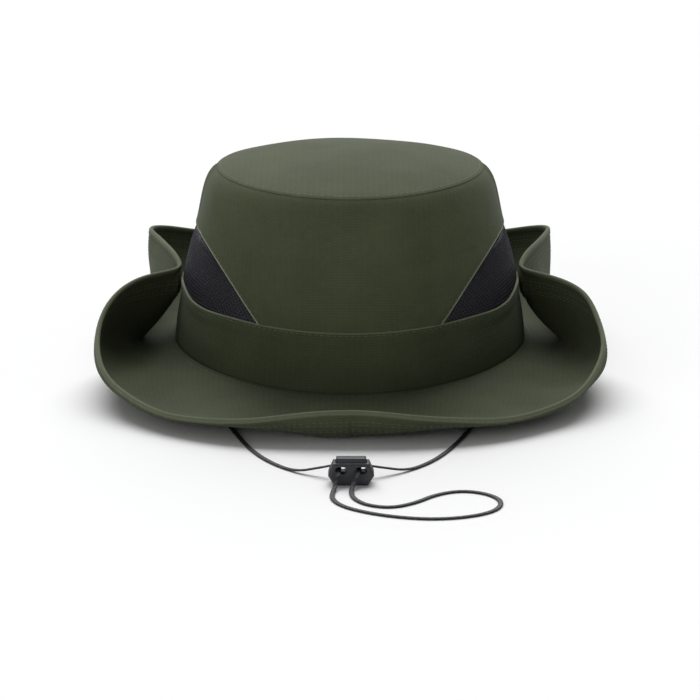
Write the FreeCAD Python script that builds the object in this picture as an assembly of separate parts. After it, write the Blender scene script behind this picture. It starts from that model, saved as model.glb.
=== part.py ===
"""Boonie hat standing on its brim, both brim sides snapped up to the crown, chin cord laid out in front.

Millimetres. +Z is up, the wearer faces -Y and their right hand is at -X. The origin is on the floor under the
middle of the hat. The crown's axis stands CROWN_Y from it. Angles go round the crown from the front.
"""
import FreeCAD
import Part
import math
import os

V = FreeCAD.Vector

# Driving dimensions
BASE_HALF_WIDTH = 89.0
BASE_HALF_LENGTH = 99.5
BASE_FRONT_Z = 5.3
BASE_SIDE_RISE = 5.5
TIP_HALF_WIDTH = 66.8
TIP_HALF_LENGTH = 76.5
TIP_FRONT_Z = 97.5
TIP_SIDE_RISE = 2.0
TIP_DOME = 5.0
CROWN_Y = 1.4
BAND_TOP_SHARE = 0.322
MESH_TOP_SHARE = 0.67
SEAM_LOW_ANGLE = 31.5
SEAM_HIGH_ANGLE = 89.7
SEAM_SWEEP = 0.36
CLOTH = 0.5
MESH = 0.8
BAND_PROUD = 0.2
BAND_SEAM_ANGLE = 100.0
LAYER_GAP = 0.3
INTERLINING = 0.6
BINDING_THICK = 2.6
BRIM_ROOT = 0.012
BRIM_HEM = 0.968
BINDING_START = 0.971
FLAP_HALF_LENGTH = 58.0
FLAP_LOW_Z = 13.5
FLAP_GAP = 0.6
SNAP_Z = 37.0
SNAP_TILT = 10.0
SNAP_RADIUS = 4.6
SNAP_PLATE = 0.6
STUD_RADIUS = 2.7
STUD_PLATE = 0.25
STUD_TIP_RADIUS = 1.5
POST_RADIUS = 4.0
POST_BACK = -3.3
PIN_RADIUS = 1.1
PIN_PLAY = 0.15
CORD_DIAMETER = 2.2
TAB_Y = -16.0
LOCK_X = 0.5
LOCK_FRONT_Y = -228.2
LOCK_DEPTH = 8.6
LOCK_BODY_HEIGHT = 10.0
LOCK_HEIGHT = 11.9
LOCK_TRAVEL = 1.6
HOLE_OFFSET = 4.4
HOLE_LENGTH = 5.2
HOLE_HEIGHT = 3.2
HOLE_Z = 6.9
TIP_TOP_GAP = 0.9
TIP_OVERHANG = 0.4
POST_PLATE = 0.7
CAP_PLATE = 1.1
SEAT_PLAY = 0.4
TAB_THICK = 1.2
TAB_WIDTH = 8.0
TAB_HEIGHT = 9.5
TAB_X = 84.0
TAB_Z = 6.0
POCKET_WIDTH = 13.8
POCKET_DEPTH = 6.0
POCKET_FLOOR = 1.2
BUTTON_WIDTH = 13.2
BUTTON_DEPTH = 5.4
BUTTON_LOW_Z = 4.0
LOCK_EDGE_RADIUS = 1.1
BUTTON_EDGE_RADIUS = 0.9
SPRING_RADIUS = 1.5
SPRING_WIRE_RADIUS = 0.2
SPRING_PITCH = 0.75
SPRING_HEIGHT = 2.2

# Share of the way from the base's size to the tip's, at each share of the height
WALL_LEAN = [(0, 0), (0.15, 0.06), (0.304, 0.168), (0.381, 0.195), (0.47, 0.268), (0.616, 0.436), (0.674, 0.52),
             (0.733, 0.58), (0.79, 0.625), (0.849, 0.675), (0.906, 0.74), (0.965, 0.87), (1, 1)]

# Brim stations on one side: angle, rim point x y z, then the handles that curl the brim between crown and rim:
# how far out and up the brim leaves the crown, and how far out and up of the rim it arrives from
BRIM = [
    (0, 0, -166.7, 16, 36, -2.5, -4.9, -22.7),
    (14, 33.4, -165.9, 13.3, 35.7, -6.5, -6, -13.4),
    (28, 65, -157.9, 9.8, 27.8, -1.4, -8.2, -8.2),
    (48, 103.4, -126.5, 11.9, 28.9, -3.4, -5.7, -13.9),
    (62, 120.1, -94, 21.6, 28.4, -6.3, 3.3, -16),
    (74, 121, -57.4, 35.1, 27.7, -6.6, 11.9, -26),
    (83, 105, -23.7, 45.3, 33.7, -8.1, 11.2, -27.7),
    (87, 91.2, -8, 45.6, 42, -9, 1, -31),
    (90, 87.2, 0, 46.0, 44, -9, -1.5, -32),
    (93.5, 87.6, 7, 47.2, 42, -9, -1, -31),
    (97, 89.5, 14, 48.5, 38, -8, 4, -30),
    (107, 97, 40, 50.0, 28, -7, 6, -28),
    (118, 106, 80, 49.0, 24, -6, 3, -24),
    (126, 100, 100, 45.5, 24, -6, 2, -24),
    (140, 82, 126, 37.5, 26, -6, 0, -22),
    (158, 48, 152, 30.0, 28, -8, -4, -20),
    (180, 0, 165, 27.0, 30, -11, -8, -21),
]


# Smooth curves through the stations
def round_curve(place):
    """Closed smooth curve through the stations and their mirror images, its parameter the angle."""
    mirror_rows = [(360 - row[0], -row[1]) + row[2:] for row in reversed(BRIM[1:-1])]
    rows = BRIM + mirror_rows
    curve = Part.BSplineCurve()
    curve.interpolate(Points=[place(row) for row in rows], PeriodicFlag=True,
                      Parameters=[float(row[0]) for row in rows] + [360.0])
    return curve


def handle(first):
    """Out and up columns of a station. The third value only keeps neighbouring stations apart."""
    return lambda row: V(row[first], row[first + 1], 100 * math.cos(math.radians(row[0])))


RIM = round_curve(lambda row: V(row[1], row[2], row[3]))
ROOT_HANDLE = round_curve(handle(4))
RIM_HANDLE = round_curve(handle(6))
LEAN = Part.BSplineCurve()
LEAN.interpolate(Points=[V(h, s, 0) for h, s in WALL_LEAN], Parameters=[float(h) for h, s in WALL_LEAN])


def on_wall(angle, share, out=0.0):
    """Point on the crown's side at a share of its height, pushed out from the outer face."""
    turn = math.radians(angle)
    lean = LEAN.value(share).y
    half_width = BASE_HALF_WIDTH + (TIP_HALF_WIDTH - BASE_HALF_WIDTH) * lean + out
    half_length = BASE_HALF_LENGTH + (TIP_HALF_LENGTH - BASE_HALF_LENGTH) * lean + out
    low = BASE_FRONT_Z + BASE_SIDE_RISE * math.sin(turn) ** 2
    high = TIP_FRONT_Z + TIP_SIDE_RISE * math.sin(turn) ** 2
    return V(half_width * math.sin(turn), -half_length * math.cos(turn), low + (high - low) * share)


def on_brim(angle, along):
    """Point on the middle of the brim's thickness, from 0 at the crown to 1 at the rim."""
    turn = math.radians(angle)
    root = on_wall(angle, 0)
    out = V(math.sin(turn) / BASE_HALF_WIDTH, -math.cos(turn) / BASE_HALF_LENGTH, 0)
    out.normalize()
    up = V(0, 0, 1)
    around = angle % 360
    rim = RIM.value(around)
    root_handle = ROOT_HANDLE.value(around)
    rim_handle = RIM_HANDLE.value(around)
    leave = root + out * root_handle.x + up * root_handle.y
    arrive = rim + out * rim_handle.x + up * rim_handle.y
    rest = 1 - along
    return (root * rest ** 3 + leave * (3 * rest * rest * along)
            + arrive * (3 * rest * along * along) + rim * along ** 3)


def off_brim(angle, along, off):
    """Brim point pushed off the middle along its normal, plus towards the upper face."""
    step = 0.002
    low = max(along - step, 0)
    high = min(along + step, 1)
    across = on_brim(angle, high) - on_brim(angle, low)
    around = on_brim(angle + 0.2, along) - on_brim(angle - 0.2, along)
    normal = across.cross(around)
    normal.normalize()
    return on_brim(angle, along) + normal * off


# Closed sheets
def spread(low, high, count):
    return [low + (high - low) * i / (count - 1) for i in range(count)]


def sheet(face_grid, back_grid):
    """Closed solid between two grids of points, with ruled edges."""
    surfaces = []
    for grid in (face_grid, back_grid):
        surface = Part.BSplineSurface()
        surface.interpolate(grid)
        surfaces.append(surface)
    faces = [s.toShape() for s in surfaces]
    u0, u1, v0, v1 = surfaces[0].bounds()
    b0, b1, c0, c1 = surfaces[1].bounds()
    for mine, other in ((surfaces[0].uIso(u0), surfaces[1].uIso(b0)), (surfaces[0].uIso(u1), surfaces[1].uIso(b1)),
                        (surfaces[0].vIso(v0), surfaces[1].vIso(c0)), (surfaces[0].vIso(v1), surfaces[1].vIso(c1))):
        faces.append(Part.makeRuledSurface(mine.toShape(), other.toShape(), 1))
    sewn = Part.makeCompound(faces)
    sewn.sewShape()
    solid = Part.makeSolid(sewn.Shells[0])
    if solid.Volume < 0:
        solid = Part.Solid(sewn.Shells[0].reversed())
    return solid


def brim_sheet(angles, low_off, high_off, along_low, along_high, rows):
    steps = spread(along_low, along_high, rows)
    high = [[off_brim(a, t, high_off) for t in steps] for a in angles]
    low = [[off_brim(a, t, low_off) for t in steps] for a in angles]
    return sheet(high, low)


def wall_sheet(rows, outer, inner, edge, count=25):
    """Crown sheet: rows of height shares, edge(share) gives the two end angles of each row."""
    grids = []
    for out in (outer, inner):
        grid = []
        for share in rows:
            start, end = edge(share)
            grid.append([on_wall(a, share, out) for a in spread(start, end, count)])
        grids.append(grid)
    return sheet(grids[0], grids[1])


def mirrored(shape):
    return shape.mirror(V(0, 0, 0), V(1, 0, 0))


NODES = {}


# Crown
def make_crown_top():
    """Domed oval tip, its edge on the crown's top line."""
    past_edge = 1.1
    grids = []
    for lower in (0.0, CLOTH + LAYER_GAP):
        grid = []
        for i in spread(-past_edge, past_edge, 13):
            row = []
            for j in spread(-past_edge, past_edge, 13):
                height = TIP_FRONT_Z + TIP_SIDE_RISE * i * i + TIP_DOME * (1 - i * i - j * j) - lower
                row.append(V(i * TIP_HALF_WIDTH, j * TIP_HALF_LENGTH, height + TIP_TOP_GAP))
            grid.append(row)
        grids.append(grid)
    cap = sheet(grids[0], grids[1])
    oval = Part.Ellipse(V(0, 0, 0), TIP_HALF_LENGTH + TIP_OVERHANG, TIP_HALF_WIDTH + TIP_OVERHANG)
    trim = Part.Face(Part.Wire(oval.toShape())).extrude(V(0, 0, TIP_FRONT_Z))
    trim.Placement = FreeCAD.Placement(V(0, 0, TIP_FRONT_Z / 2), FreeCAD.Rotation(V(0, 0, 1), 90))
    return cap.common(trim)


def seam_angle(share):
    """Angle of the slanted seam between front panel and mesh, which sweeps up to the side."""
    climb = min(max((share - BAND_TOP_SHARE) / (MESH_TOP_SHARE - BAND_TOP_SHARE), 0), 1)
    return SEAM_LOW_ANGLE + (SEAM_HIGH_ANGLE - SEAM_LOW_ANGLE) * (1 - (1 - climb) ** SEAM_SWEEP)


SEAM_GAP = 0.6
PANEL_ROWS = (0.328, 0.37, 0.42, 0.47, 0.52, 0.56, 0.6, 0.63, 0.65, 0.662, 0.672, 0.69, 0.72, 0.76, 0.8, 0.85,
              0.9, 0.95, 0.992)
MESH_ROWS = (0.328, 0.37, 0.42, 0.47, 0.52, 0.56, 0.59, 0.62, 0.64, 0.655)


def make_panel(middle):
    return wall_sheet(PANEL_ROWS, 0, -CLOTH, lambda s: (middle - seam_angle(s), middle + seam_angle(s)))


def make_mesh_panel():
    return wall_sheet(MESH_ROWS, -0.1, -0.1 - MESH,
                      lambda s: (seam_angle(s) + SEAM_GAP, 180 - seam_angle(s) - SEAM_GAP))


def make_strip(low_share, high_share, outer, inner, start=-179.8, end=179.8):
    """Band round the crown between two angles. The whole one's ends meet at the back."""
    columns = int((end - start) / 5) + 2
    return wall_sheet(spread(low_share, high_share, 6), outer, inner, lambda s: (start, end), columns)


# Brim: cloth, interlining, cloth, bound at the rim
LAYERS = {"upper_cloth": (INTERLINING / 2 + LAYER_GAP, INTERLINING / 2 + LAYER_GAP + CLOTH),
          "interlining": (-INTERLINING / 2, INTERLINING / 2),
          "under_cloth": (-INTERLINING / 2 - LAYER_GAP - CLOTH, -INTERLINING / 2 - LAYER_GAP)}
FRONT_ANGLES = spread(-89.9, 89.9, 55)
BACK_ANGLES = spread(90.1, 269.9, 55)
SIDE_ANGLES = spread(50, 130, 33)


def side_box(gap):
    """Space that the hinged side of the brim fills, on the +X side."""
    return Part.makeBox(100, 2 * (FLAP_HALF_LENGTH + gap), 100, V(50, -FLAP_HALF_LENGTH - gap, FLAP_LOW_Z - gap))


def make_brim():
    sheets = dict(LAYERS)
    sheets["edge_binding"] = (-BINDING_THICK / 2, BINDING_THICK / 2)
    keep_out = side_box(FLAP_GAP)
    inside = side_box(0)
    for layer, (low, high) in sheets.items():
        start, end = (BINDING_START, 1.0) if layer == "edge_binding" else (BRIM_ROOT, BRIM_HEM)
        rows = 4 if layer == "edge_binding" else 12
        for end_name, angles in (("front", FRONT_ANGLES), ("back", BACK_ANGLES)):
            whole = brim_sheet(angles, low, high, start, end, rows)
            NODES["%s_brim_%s" % (end_name, layer)] = whole.cut(keep_out).cut(mirrored(keep_out))
        flap = brim_sheet(SIDE_ANGLES, low, high, start, end, rows).common(inside)
        for hole in SNAP_HOLES + SNAP_SEATS:
            flap = flap.cut(hole)
        flap = max(flap.Solids, key=lambda piece: piece.Volume)
        NODES["right_brim_" + layer] = mirrored(flap)
        NODES["left_brim_" + layer] = flap


# Snaps that hold the sides up, drawn on the +X side about an axis square to the crown
def wall_out(height):
    """How far the crown's outer face stands out at the side, at a height."""
    low = BASE_FRONT_Z + BASE_SIDE_RISE
    return on_wall(90, (height - low) / (TIP_FRONT_Z + TIP_SIDE_RISE - low)).x


SNAP_AXIS = V(math.cos(math.radians(SNAP_TILT)), 0, math.sin(math.radians(SNAP_TILT)))
SNAP_FACE = V(wall_out(SNAP_Z) + BAND_PROUD, 0, SNAP_Z)


def disc(radius, start, end):
    return Part.makeCylinder(radius, end - start, SNAP_FACE + SNAP_AXIS * start, SNAP_AXIS)


def brim_out(height):
    """How far past the crown's face the middle of the brim stands, along the snap's axis."""
    nearest = min((on_brim(90, i / 500) for i in range(350, 500)), key=lambda point: abs(point.z - height))
    return (nearest - SNAP_FACE).dot(SNAP_AXIS)


BRIM_MIDDLE = brim_out(SNAP_Z)
HALF_BRIM = INTERLINING / 2 + LAYER_GAP + CLOTH
SOCKET_BACK = BRIM_MIDDLE - HALF_BRIM - 0.15
CAP_START = BRIM_MIDDLE + HALF_BRIM + 3 * LAYER_GAP
SNAP_HOLES = [disc(PIN_RADIUS + PIN_PLAY, -8, 12)]
SNAP_SEATS = [disc(SNAP_RADIUS + SEAT_PLAY, SOCKET_BACK - 4, SOCKET_BACK + 0.05),
              disc(SNAP_RADIUS + SEAT_PLAY, CAP_START - 0.05, CAP_START + 6)]
print("brim stands %.2f off the crown at the snap" % BRIM_MIDDLE)


def make_snaps():
    """Stud and post on the crown, socket and cap on the brim's side, the stud's tip a loose fit in the socket."""
    socket_front = SOCKET_BACK - SNAP_PLATE
    stud_back = socket_front - 0.13
    stud_front = stud_back - STUD_PLATE
    stud = disc(STUD_RADIUS, stud_front, stud_back).fuse(disc(STUD_TIP_RADIUS, stud_back, SOCKET_BACK - 0.35))
    post_face = POST_BACK + POST_PLATE
    post = disc(PIN_RADIUS, post_face, stud_front).fuse(disc(POST_RADIUS, POST_BACK, post_face))
    socket = disc(SNAP_RADIUS, socket_front, SOCKET_BACK)
    socket = socket.cut(disc(2 * STUD_TIP_RADIUS, socket_front - 1, SOCKET_BACK - 0.15))
    cap = disc(PIN_RADIUS, SOCKET_BACK, CAP_START).fuse(disc(SNAP_RADIUS + 0.2, CAP_START, CAP_START + CAP_PLATE))
    for name, piece in (("snap_stud", stud), ("snap_post", post), ("snap_socket", socket), ("snap_cap", cap)):
        NODES["left_" + name] = piece
        NODES["right_" + name] = mirrored(piece)


# Chin cord: one flat cord from the left tab through the lock, round the tail and back to the right tab
CORD_Z = 1.15
CORD_ROUTE = [
    (84.6, -16, 6.4), (84.5, -20.5, 3.2), (83, -30, 1.4), (79.5, -48, CORD_Z), (72.5, -74, CORD_Z),
    (65, -101, CORD_Z), (58.8, -127, CORD_Z), (53.5, -149, CORD_Z), (46.5, -171, CORD_Z), (37.5, -192, CORD_Z),
    (26, -207, CORD_Z), (13.5, -213.8, 4.2), (3.9, -217.9, HOLE_Z), (3.9, -230.3, HOLE_Z), (1.2, -233.4, 2.0),
    (0.4, -239.5, CORD_Z), (1.6, -248.5, CORD_Z), (7, -257.5, CORD_Z), (17.5, -261.5, CORD_Z),
    (28, -254.5, CORD_Z), (37, -242.5, CORD_Z), (48, -236.5, CORD_Z), (59, -240.5, CORD_Z),
    (65.5, -251, CORD_Z), (63, -264.5, CORD_Z), (52, -273.5, CORD_Z), (36, -277.5, CORD_Z),
    (20, -274.5, CORD_Z), (6, -267.5, CORD_Z), (-4, -258.5, CORD_Z), (-8, -248, CORD_Z), (-7.4, -238.5, CORD_Z),
    (-6.2, -233.3, 2.0), (-4.9, -230.3, HOLE_Z), (-4.9, -217.9, HOLE_Z), (-12.5, -213.8, 4.2),
    (-24.5, -208.5, CORD_Z), (-36, -194, CORD_Z), (-44.8, -175, CORD_Z), (-51.5, -153, CORD_Z),
    (-57.5, -130, CORD_Z), (-64, -103, CORD_Z), (-72, -75, CORD_Z), (-79.5, -48, CORD_Z), (-83, -30, 1.4),
    (-84.5, -20.5, 3.2), (-84.6, -16, 6.4),
]


def make_cord(route, diameter):
    """Tube along straight runs joined by arcs as large as the runs allow."""
    points = [V(*p) for p in route]
    edges = []
    radii = []
    at = points[0]
    for before, corner, after in zip(points, points[1:], points[2:]):
        back = before - corner
        on = after - corner
        turn = math.pi - back.getAngle(on)
        reach = 0.45 * min(back.Length, on.Length)
        radii.append(reach / math.tan(turn / 2))
        back.normalize()
        on.normalize()
        arc_start = corner + back * reach
        arc_end = corner + on * reach
        inward = back + on
        inward.normalize()
        middle = corner + inward * (radii[-1] / math.cos(turn / 2) - radii[-1])
        edges.append(Part.LineSegment(at, arc_start).toShape())
        edges.append(Part.Arc(arc_start, middle, arc_end).toShape())
        at = arc_end
    edges.append(Part.LineSegment(at, points[-1]).toShape())
    path = Part.Wire(edges)
    start = points[1] - points[0]
    ring = Part.Wire(Part.Circle(points[0], start, diameter / 2).toShape())
    tube = path.makePipeShell([ring], True, True, 1)
    wanted = math.pi * diameter ** 2 / 4 * path.Length
    print("cord length %.0f radii %s" % (path.Length, " ".join("%.1f" % r for r in radii)))
    print("cord volume %.1f of %.1f" % (tube.Volume, wanted))
    return tube


def make_tab():
    """Cloth tab inside the crown that the cord is sewn to, on the +X side."""
    return Part.makeBox(TAB_THICK, TAB_WIDTH, TAB_HEIGHT, V(TAB_X, TAB_Y - TAB_WIDTH / 2, TAB_Z))


# Cord lock
def slot_through(centre_x, low_z, high_z):
    """Round-ended slot right through the lock from front to back."""
    radius = HOLE_HEIGHT / 2
    half = HOLE_LENGTH / 2 - radius
    start_y = LOCK_FRONT_Y - 5
    length = LOCK_DEPTH + 10
    slot = Part.makeBox(2 * half, length, high_z - low_z, V(centre_x - half, start_y, low_z))
    for end in (-half, half):
        for height in {low_z + radius, high_z - radius}:
            slot = slot.fuse(Part.makeCylinder(radius, length, V(centre_x + end, start_y, height), V(0, 1, 0)))
        if high_z - low_z > 2 * radius:
            side = end - radius if end < 0 else end
            slot = slot.fuse(Part.makeBox(radius, length, high_z - low_z - 2 * radius,
                                          V(centre_x + side, start_y, low_z + radius)))
    return slot


def make_lock_body():
    profile = [(-7.4, 0), (7.4, 0), (10.1, 4.2), (9.9, 5.4), (7.9, LOCK_BODY_HEIGHT), (-7.9, LOCK_BODY_HEIGHT),
               (-9.9, 5.4), (-10.1, 4.2)]
    wire = Part.makePolygon([V(LOCK_X + x, LOCK_FRONT_Y, z) for x, z in profile + profile[:1]])
    block = Part.Face(wire).extrude(V(0, LOCK_DEPTH, 0))
    block = block.makeFillet(LOCK_EDGE_RADIUS, [e for e in block.Edges if abs(e.BoundBox.YLength) < 0.01])
    pocket_y = LOCK_FRONT_Y + (LOCK_DEPTH - POCKET_DEPTH) / 2
    pocket = Part.makeBox(POCKET_WIDTH, POCKET_DEPTH, 20, V(LOCK_X - POCKET_WIDTH / 2, pocket_y, POCKET_FLOOR))
    block = block.cut(pocket)
    for side in (-1, 1):
        centre = LOCK_X + side * HOLE_OFFSET
        block = block.cut(slot_through(centre, HOLE_Z - HOLE_HEIGHT / 2, HOLE_Z + HOLE_HEIGHT / 2))
    return block


def make_lock_button():
    corner = V(LOCK_X - BUTTON_WIDTH / 2, LOCK_FRONT_Y + (LOCK_DEPTH - BUTTON_DEPTH) / 2, BUTTON_LOW_Z)
    block = Part.makeBox(BUTTON_WIDTH, BUTTON_DEPTH, LOCK_HEIGHT - BUTTON_LOW_Z, corner)
    top = [e for e in block.Edges if e.BoundBox.ZMin > LOCK_HEIGHT - 0.01]
    block = block.makeFillet(BUTTON_EDGE_RADIUS, top)
    for side in (-1, 1):
        centre = LOCK_X + side * HOLE_OFFSET
        block = block.cut(slot_through(centre, HOLE_Z - HOLE_HEIGHT / 2, HOLE_Z + HOLE_HEIGHT / 2 + LOCK_TRAVEL - 0.5))
    return block


def make_lock_spring():
    helix = Part.makeHelix(SPRING_PITCH, SPRING_HEIGHT, SPRING_RADIUS)
    ring = Part.Wire(Part.Circle(V(SPRING_RADIUS, 0, 0), V(0, 1, 0), SPRING_WIRE_RADIUS).toShape())
    spring = Part.Wire(helix.Edges).makePipeShell([ring], True, True)
    spring.translate(V(LOCK_X, LOCK_FRONT_Y + LOCK_DEPTH / 2, POCKET_FLOOR + 0.3))
    return spring


# Assembly
NODES["crown_top"] = make_crown_top()
NODES["front_panel"] = make_panel(0)
NODES["back_panel"] = make_panel(180)
NODES["left_mesh_panel"] = make_mesh_panel()
NODES["right_mesh_panel"] = mirrored(NODES["left_mesh_panel"])
NODES["front_crown_band"] = make_strip(0, BAND_TOP_SHARE, BAND_PROUD, -0.2, -BAND_SEAM_ANGLE, BAND_SEAM_ANGLE)
NODES["back_crown_band"] = make_strip(0, BAND_TOP_SHARE, BAND_PROUD, -0.2, BAND_SEAM_ANGLE + 0.2,
                                      359.8 - BAND_SEAM_ANGLE)
NODES["sweatband"] = make_strip(0.01, 0.28, -0.5, -1.6)
NODES["tip_seam_tape"] = make_strip(0.9, 0.985, -0.8, -1.3)
for name in ("front_crown_band", "sweatband"):
    for hole in SNAP_HOLES:
        NODES[name] = NODES[name].cut(hole).cut(mirrored(hole))
make_brim()
make_snaps()
NODES["left_cord_tab"] = make_tab()
NODES["right_cord_tab"] = mirrored(NODES["left_cord_tab"])
NODES["chin_cord"] = make_cord(CORD_ROUTE, CORD_DIAMETER)
NODES["lock_body"] = make_lock_body()
NODES["lock_button"] = make_lock_button()
NODES["lock_spring"] = make_lock_spring()

os.makedirs("parts", exist_ok=True)
for name, shape in NODES.items():
    shape.translate(V(0, CROWN_Y, 0))
    solids = shape.Solids
    whole = solids[0] if len(solids) == 1 else Part.makeCompound(solids)
    print("%-28s solids %d valid %s volume %.0f" % (name, len(solids), whole.isValid(), whole.Volume))
    whole.exportStep("parts/%s.step" % name)
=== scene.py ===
"""Boonie hat standing on its brim: olive ripstop crown and brim, black mesh sides, both brim sides
snapped up to the crown, and a flat chin cord with its lock laid out in front.

The sections follow the hat as it is sewn together. Shapes are worked out in millimetres about the
crown's axis, with angles in degrees round the crown from the front, and become metres in each mesh.
"""
import math

import bpy
import numpy as np
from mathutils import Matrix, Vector


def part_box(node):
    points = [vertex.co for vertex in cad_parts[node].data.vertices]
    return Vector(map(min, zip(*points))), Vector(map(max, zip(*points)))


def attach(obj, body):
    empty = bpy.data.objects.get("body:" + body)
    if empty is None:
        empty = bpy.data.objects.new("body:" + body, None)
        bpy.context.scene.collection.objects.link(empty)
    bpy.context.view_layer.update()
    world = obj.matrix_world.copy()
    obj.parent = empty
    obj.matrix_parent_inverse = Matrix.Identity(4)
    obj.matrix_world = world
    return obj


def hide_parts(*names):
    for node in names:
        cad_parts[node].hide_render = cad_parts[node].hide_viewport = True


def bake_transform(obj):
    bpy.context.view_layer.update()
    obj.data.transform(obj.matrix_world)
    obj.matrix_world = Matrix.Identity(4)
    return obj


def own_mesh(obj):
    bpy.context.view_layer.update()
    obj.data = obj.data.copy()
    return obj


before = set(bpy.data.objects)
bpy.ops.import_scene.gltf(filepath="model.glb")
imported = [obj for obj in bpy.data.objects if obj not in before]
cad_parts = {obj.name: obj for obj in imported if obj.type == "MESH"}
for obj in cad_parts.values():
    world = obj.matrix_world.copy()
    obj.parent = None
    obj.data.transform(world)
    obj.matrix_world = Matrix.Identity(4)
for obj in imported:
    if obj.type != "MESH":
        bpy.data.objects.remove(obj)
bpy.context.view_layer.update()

# ----------------------------------------------------------------------------
# Studio: a pale floor and a dim even surround, a wide soft light above and behind the hat, and a weak
# one low at its front. The camera stands low in front of the hat and far off, so lines hardly converge.
CROWN_Y = 1.4
CAMERA_TARGET = (0.0, 0.0014, 0.0026)
CAMERA_DISTANCE = 1.5
CAMERA_ELEVATION = math.radians(14.45)


def linear(hex_colour):
    """Turns an sRGB hex colour into the linear colour that the nodes work in."""
    channels = [int(hex_colour[i:i + 2], 16) / 255 for i in (1, 3, 5)]
    return tuple(c / 12.92 if c <= 0.04045 else ((c + 0.055) / 1.055) ** 2.4 for c in channels) + (1.0,)


def add(tree, kind, sockets=None, **settings):
    """Adds a node. A socket takes a value or another node's output."""
    node = tree.nodes.new(kind)
    for key, value in settings.items():
        setattr(node, key, value)
    for key, value in (sockets or {}).items():
        if isinstance(value, bpy.types.NodeSocket):
            tree.links.new(value, node.inputs[key])
        else:
            node.inputs[key].default_value = value
    return node


def start_material(name, **shader_values):
    """New material and its shader, with the shader's fixed values set on its own sockets."""
    material = bpy.data.materials.new(name)
    material.use_nodes = True
    shader = material.node_tree.nodes["Principled BSDF"]
    for key, value in shader_values.items():
        shader.inputs[key.replace("_", " ")].default_value = value
    return material, material.node_tree, shader


camera = bpy.data.objects.new("camera", bpy.data.cameras.new("camera"))
bpy.context.collection.objects.link(camera)
camera.location = (CAMERA_TARGET[0],
                   CAMERA_TARGET[1] - CAMERA_DISTANCE * math.cos(CAMERA_ELEVATION),
                   CAMERA_TARGET[2] + CAMERA_DISTANCE * math.sin(CAMERA_ELEVATION))
camera.rotation_euler = (math.pi / 2 - CAMERA_ELEVATION, 0, 0)
camera.data.sensor_width = 36
camera.data.lens = 150.5
bpy.context.scene.camera = camera
bpy.context.scene.view_settings.view_transform = "Standard"

world = bpy.data.worlds.new("surround")
world.use_nodes = True
world.node_tree.nodes["Background"].inputs["Color"].default_value = linear("#f7f8fa")
world.node_tree.nodes["Background"].inputs["Strength"].default_value = 0.22
bpy.context.scene.world = world

FLOOR_HALF = 5.0
floor_mesh = bpy.data.meshes.new("floor")
floor_mesh.from_pydata([(-FLOOR_HALF, -FLOOR_HALF, 0), (FLOOR_HALF, -FLOOR_HALF, 0),
                        (FLOOR_HALF, FLOOR_HALF, 0), (-FLOOR_HALF, FLOOR_HALF, 0)], [], [(0, 1, 2, 3)])
floor = bpy.data.objects.new("floor", floor_mesh)
bpy.context.collection.objects.link(floor)
floor_paint, _, floor_shader = start_material("matt_white_board", Roughness=0.9)
floor_shader.inputs["Base Color"].default_value = linear("#fafafa")
floor_mesh.materials.append(floor_paint)


def wide_light(name, toward, strength, spread):
    """Very wide soft source, so far off that the floor is lit evenly. toward points from the hat to it."""
    lamp = bpy.data.lights.new(name, "SUN")
    lamp.energy = strength
    lamp.angle = math.radians(spread)
    holder = bpy.data.objects.new(name, lamp)
    bpy.context.collection.objects.link(holder)
    holder.rotation_euler = Vector(toward).to_track_quat("Z", "Y").to_euler()


wide_light("overhead_bank", (-0.05, 0.9, 1.0), 3.35, 60)
wide_light("front_bank", (-0.8, -1.0, 0.22), 0.6, 40)

# ----------------------------------------------------------------------------
# Front and back panels: olive ripstop polyester, cut so that each reaches from the band to the tip and meets
# the other above the mesh. Their slanted edges are folded under and topstitched on to the mesh.
BASE_HALF_WIDTH = 89.0
BASE_HALF_LENGTH = 99.5
BASE_FRONT_Z = 5.3
BASE_SIDE_RISE = 5.5
TIP_HALF_WIDTH = 66.8
TIP_HALF_LENGTH = 76.5
TIP_FRONT_Z = 97.5
TIP_SIDE_RISE = 2.0
BAND_TOP = 0.322
MESH_TOP = 0.67
SEAM_LOW = 31.5
SEAM_HIGH = 90.0
SEAM_SWEEP = 0.36
PANEL_THICK = 0.5
FOLD_THICK = 0.6
EDGE_STITCH = 1.5
STITCH_PITCH = 3.0
STITCH_DENT = 0.22
# Steps of a panel's side edge that lie under the band, and carry no stitches
HIDDEN_STEPS = 11
# How far the wall has leaned in towards the tip's size, at each share of the height
WALL_LEAN = [(0, 0), (0.15, 0.06), (0.304, 0.168), (0.381, 0.195), (0.47, 0.268), (0.616, 0.436),
             (0.674, 0.52), (0.733, 0.58), (0.79, 0.625), (0.849, 0.675), (0.906, 0.74), (0.965, 0.87),
             (1, 1)]


def smooth(knots, values, at):
    """Value at any place on the smooth cubic curve through the knots."""
    knots = np.asarray(knots, float)
    values = np.asarray(values, float)
    at = np.asarray(at, float)
    gaps = np.diff(knots)
    slopes = np.diff(values) / gaps
    count = len(knots)
    system = np.eye(count)
    right = np.zeros(count)
    for i in range(1, count - 1):
        system[i, i - 1:i + 2] = gaps[i - 1], 2 * (gaps[i - 1] + gaps[i]), gaps[i]
        right[i] = 6 * (slopes[i] - slopes[i - 1])
    bend = np.linalg.solve(system, right)
    i = np.clip(np.searchsorted(knots, at, side="right") - 1, 0, count - 2)
    a = (knots[i + 1] - at) / gaps[i]
    b = 1 - a
    curved = ((a ** 3 - a) * bend[i] + (b ** 3 - b) * bend[i + 1]) * gaps[i] ** 2 / 6
    return a * values[i] + b * values[i + 1] + curved


def ease(low, high, value):
    """0 below low, 1 above high, smooth between."""
    t = np.clip((value - low) / (high - low), 0, 1)
    return t * t * (3 - 2 * t)


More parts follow.
